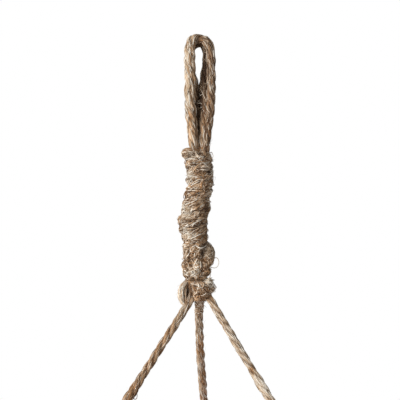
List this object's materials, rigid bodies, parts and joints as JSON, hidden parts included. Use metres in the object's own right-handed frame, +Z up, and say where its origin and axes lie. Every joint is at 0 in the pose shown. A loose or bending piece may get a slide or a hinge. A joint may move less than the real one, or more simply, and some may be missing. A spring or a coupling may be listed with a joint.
{
  "type": "hanging macrame planter",
  "caption": "Hanging jute macrame planter: a folded cord loop and bound neck carry a plain round pot in a knotted cord net that ends in a tassel.",
  "frame": {"origin": "inside top of the hanging loop, where a hook bears", "axes": "+Z up, +X to the right as seen from the front, -Y towards the viewer"},
  "size_m": [0.1892, 0.1989, 0.5536],
  "materials": {
    "jute": "matte",
    "terracotta": "matte"
  },
  "bodies": {
    "loop": {"loop_cord_front": "jute", "loop_cord_rear": "jute"},
    "neck": {"core_leg_left": "jute", "core_leg_right": "jute", "core_leg_rear": "jute", "neck_wrap": "jute", "half_hitch": "jute", "overhand_knot": "jute"},
    "crown": {"crown_knot": "jute"},
    "pot": {"pot": "terracotta"},
    "base_knot": {"base_knot": "jute"},
    "tassel": {"tassel_wrap": "jute", "tassel_strand_1": "jute", "tassel_strand_2": "jute", "tassel_strand_3": "jute", "tassel_strand_4": "jute", "tassel_strand_5": "jute", "tassel_strand_6": "jute", "tassel_strand_7": "jute"},
    "net": {"lower_strand_front_left": "jute", "lower_strand_front_right": "jute", "lower_strand_rear_left_left": "jute", "lower_strand_rear_left_right": "jute", "lower_strand_rear_right_left": "jute", "lower_strand_rear_right_right": "jute", "rim_knot_left": "jute", "rim_knot_rear": "jute", "rim_knot_right": "jute", "side_knot_front": "jute", "side_knot_rear_left": "jute", "side_knot_rear_right": "jute", "suspension_cord_left": "jute", "suspension_cord_rear": "jute", "suspension_cord_right": "jute", "upper_strand_left_to_front": "jute", "upper_strand_left_to_rear_left": "jute", "upper_strand_rear_to_rear_left": "jute", "upper_strand_rear_to_rear_right": "jute", "upper_strand_right_to_front": "jute", "upper_strand_right_to_rear_right": "jute"}
  },
  "joints": [
    {"name": "loop_twist", "type": "hinge", "parent": "loop", "child": "neck", "pos_m": [0, 0, -0.0632], "axis": [0, 0, 1], "range_deg": [-90, 90], "stiffness_Nm_per_rad": 0.03},
    {"name": "neck_bend_side", "type": "hinge", "parent": "neck", "child": "crown", "pos_m": [-0.0016, 0, -0.152], "axis": [0, 1, 0], "range_deg": [-20, 20]},
    {"name": "neck_bend_front", "type": "hinge", "parent": "crown", "child": "net", "pos_m": [-0.0016, 0, -0.152], "axis": [1, 0, 0], "range_deg": [-20, 20]},
    {"name": "pot_turn", "type": "hinge", "parent": "net", "child": "pot", "pos_m": [0, 0, -0.402], "axis": [0, 0, 1], "continuous": true},
    {"name": "tassel_swing_side", "type": "hinge", "parent": "net", "child": "base_knot", "pos_m": [0, 0, -0.418], "axis": [0, 1, 0], "range_deg": [-30, 30]},
    {"name": "tassel_swing_front", "type": "hinge", "parent": "base_knot", "child": "tassel", "pos_m": [0, 0, -0.418], "axis": [1, 0, 0], "range_deg": [-30, 30]}
  ]
}
